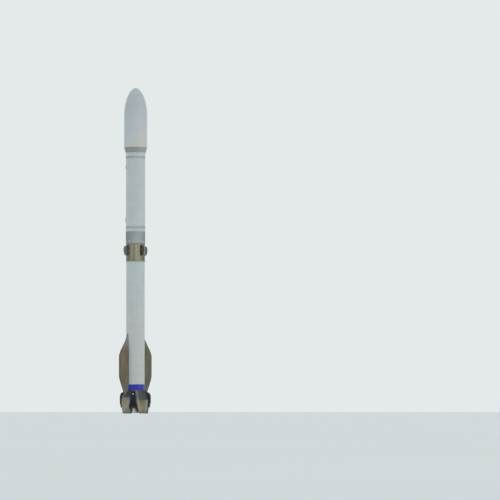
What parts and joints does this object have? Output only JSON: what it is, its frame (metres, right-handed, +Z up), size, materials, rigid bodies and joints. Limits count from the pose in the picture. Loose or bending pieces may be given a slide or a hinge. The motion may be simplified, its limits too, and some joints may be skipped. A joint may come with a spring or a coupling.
{
  "type": "two-stage orbital launch rocket, 1:10 scale model",
  "caption": "Slender two-stage space rocket with a wide payload fairing, forward steering fins, two wedge strakes, folded landing legs and gimballed engines under an aft skirt.",
  "frame": {"origin": "centre of the base, in the plane of the four hold-down feet", "axes": "+Z up along the rocket, -Y the front, the strakes along X"},
  "size_m": [1.51, 1.116, 12.26],
  "materials": {
    "white_paint": "satin",
    "grey_paint": "satin",
    "gold_coating": "satin",
    "bronze_coating": "satin",
    "sand_coating": "matte",
    "blue_paint": "satin",
    "black_composite": "satin",
    "heat_blanket": "matte",
    "nozzle_alloy": "satin",
    "bare_steel": "satin"
  },
  "bodies": {
    "root": {"nose_cap": "white_paint", "fairing_front_half": "white_paint", "fairing_rear_half": "white_paint", "fairing_boat_tail": "grey_paint", "upper_stage_forward_skirt": "white_paint", "upper_stage_tank": "white_paint", "upper_stage_aft_skirt": "white_paint", "interstage": "grey_paint", "forward_module": "gold_coating", "booster_tank": "white_paint", "booster_base_band": "blue_paint", "strake_right": "bronze_coating", "strake_left": "bronze_coating", "thrust_skirt": "heat_blanket", "base_heat_shield": "heat_blanket", "booster_raceway": "white_paint", "upper_stage_raceway": "white_paint", "umbilical_plate_low": "bare_steel", "umbilical_plate_high": "bare_steel", "aft_fairing_front": "sand_coating", "aft_fairing_right": "sand_coating", "aft_fairing_rear": "sand_coating", "aft_fairing_left": "sand_coating", "landing_leg_1": "black_composite", "leg_foot_1": "bare_steel", "landing_leg_2": "black_composite", "leg_foot_2": "bare_steel", "landing_leg_3": "black_composite", "leg_foot_3": "bare_steel", "landing_leg_4": "black_composite", "leg_foot_4": "bare_steel"},
    "fin_front": {"forward_fin_front": "black_composite"},
    "fin_right": {"forward_fin_right": "black_composite"},
    "fin_rear": {"forward_fin_rear": "black_composite"},
    "fin_left": {"forward_fin_left": "black_composite"},
    "gimbal_middle_block": {"gimbal_middle": "bare_steel"},
    "engine_middle_body": {"engine_middle": "nozzle_alloy"},
    "gimbal_1_block": {"gimbal_1": "bare_steel"},
    "engine_1_body": {"engine_1": "nozzle_alloy"},
    "gimbal_2_block": {"gimbal_2": "bare_steel"},
    "engine_2_body": {"engine_2": "nozzle_alloy"},
    "gimbal_3_block": {"gimbal_3": "bare_steel"},
    "engine_3_body": {"engine_3": "nozzle_alloy"},
    "gimbal_4_block": {"gimbal_4": "bare_steel"},
    "engine_4_body": {"engine_4": "nozzle_alloy"},
    "gimbal_5_block": {"gimbal_5": "bare_steel"},
    "engine_5_body": {"engine_5": "nozzle_alloy"},
    "gimbal_6_block": {"gimbal_6": "bare_steel"},
    "engine_6_body": {"engine_6": "nozzle_alloy"},
    "gimbal_7_block": {"gimbal_7": "bare_steel"},
    "engine_7_body": {"engine_7": "nozzle_alloy"},
    "gimbal_8_block": {"gimbal_8": "bare_steel"},
    "engine_8_body": {"engine_8": "nozzle_alloy"}
  },
  "joints": [
    {"name": "fin_front_turn", "type": "hinge", "parent": "root", "child": "fin_front", "pos_m": [0, -0.36, 6.12], "axis": [0, -1, 0], "range_deg": [-20, 20]},
    {"name": "fin_right_turn", "type": "hinge", "parent": "root", "child": "fin_right", "pos_m": [0.36, 0, 6.12], "axis": [1, 0, 0], "range_deg": [-20, 20]},
    {"name": "fin_rear_turn", "type": "hinge", "parent": "root", "child": "fin_rear", "pos_m": [0, 0.36, 6.12], "axis": [0, 1, 0], "range_deg": [-20, 20]},
    {"name": "fin_left_turn", "type": "hinge", "parent": "root", "child": "fin_left", "pos_m": [-0.36, 0, 6.12], "axis": [-1, 0, 0], "range_deg": [-20, 20]},
    {"name": "engine_middle_pitch", "type": "hinge", "parent": "root", "child": "gimbal_middle_block", "pos_m": [0, 0, 0.42], "axis": [1, 0, 0], "range_deg": [-5, 5]},
    {"name": "engine_middle_yaw", "type": "hinge", "parent": "gimbal_middle_block", "child": "engine_middle_body", "pos_m": [0, 0, 0.42], "axis": [0, 1, 0], "range_deg": [-5, 5]},
    {"name": "engine_1_pitch", "type": "hinge", "parent": "root", "child": "gimbal_1_block", "pos_m": [0, -0.31, 0.42], "axis": [1, 0, 0], "range_deg": [-5, 5]},
    {"name": "engine_1_yaw", "type": "hinge", "parent": "gimbal_1_block", "child": "engine_1_body", "pos_m": [0, -0.31, 0.42], "axis": [0, 1, 0], "range_deg": [-5, 5]},
    {"name": "engine_2_pitch", "type": "hinge", "parent": "root", "child": "gimbal_2_block", "pos_m": [0.2192, -0.2192, 0.42], "axis": [1, 0, 0], "range_deg": [-5, 5]},
    {"name": "engine_2_yaw", "type": "hinge", "parent": "gimbal_2_block", "child": "engine_2_body", "pos_m": [0.2192, -0.2192, 0.42], "axis": [0, 1, 0], "range_deg": [-5, 5]},
    {"name": "engine_3_pitch", "type": "hinge", "parent": "root", "child": "gimbal_3_block", "pos_m": [0.31, 0, 0.42], "axis": [1, 0, 0], "range_deg": [-5, 5]},
    {"name": "engine_3_yaw", "type": "hinge", "parent": "gimbal_3_block", "child": "engine_3_body", "pos_m": [0.31, 0, 0.42], "axis": [0, 1, 0], "range_deg": [-5, 5]},
    {"name": "engine_4_pitch", "type": "hinge", "parent": "root", "child": "gimbal_4_block", "pos_m": [0.2192, 0.2192, 0.42], "axis": [1, 0, 0], "range_deg": [-5, 5]},
    {"name": "engine_4_yaw", "type": "hinge", "parent": "gimbal_4_block", "child": "engine_4_body", "pos_m": [0.2192, 0.2192, 0.42], "axis": [0, 1, 0], "range_deg": [-5, 5]},
    {"name": "engine_5_pitch", "type": "hinge", "parent": "root", "child": "gimbal_5_block", "pos_m": [0, 0.31, 0.42], "axis": [1, 0, 0], "range_deg": [-5, 5]},
    {"name": "engine_5_yaw", "type": "hinge", "parent": "gimbal_5_block", "child": "engine_5_body", "pos_m": [0, 0.31, 0.42], "axis": [0, 1, 0], "range_deg": [-5, 5]},
    {"name": "engine_6_pitch", "type": "hinge", "parent": "root", "child": "gimbal_6_block", "pos_m": [-0.2192, 0.2192, 0.42], "axis": [1, 0, 0], "range_deg": [-5, 5]},
    {"name": "engine_6_yaw", "type": "hinge", "parent": "gimbal_6_block", "child": "engine_6_body", "pos_m": [-0.2192, 0.2192, 0.42], "axis": [0, 1, 0], "range_deg": [-5, 5]},
    {"name": "engine_7_pitch", "type": "hinge", "parent": "root", "child": "gimbal_7_block", "pos_m": [-0.31, 0, 0.42], "axis": [1, 0, 0], "range_deg": [-5, 5]},
    {"name": "engine_7_yaw", "type": "hinge", "parent": "gimbal_7_block", "child": "engine_7_body", "pos_m": [-0.31, 0, 0.42], "axis": [0, 1, 0], "range_deg": [-5, 5]},
    {"name": "engine_8_pitch", "type": "hinge", "parent": "root", "child": "gimbal_8_block", "pos_m": [-0.2192, -0.2192, 0.42], "axis": [1, 0, 0], "range_deg": [-5, 5]},
    {"name": "engine_8_yaw", "type": "hinge", "parent": "gimbal_8_block", "child": "engine_8_body", "pos_m": [-0.2192, -0.2192, 0.42], "axis": [0, 1, 0], "range_deg": [-5, 5]}
  ]
}
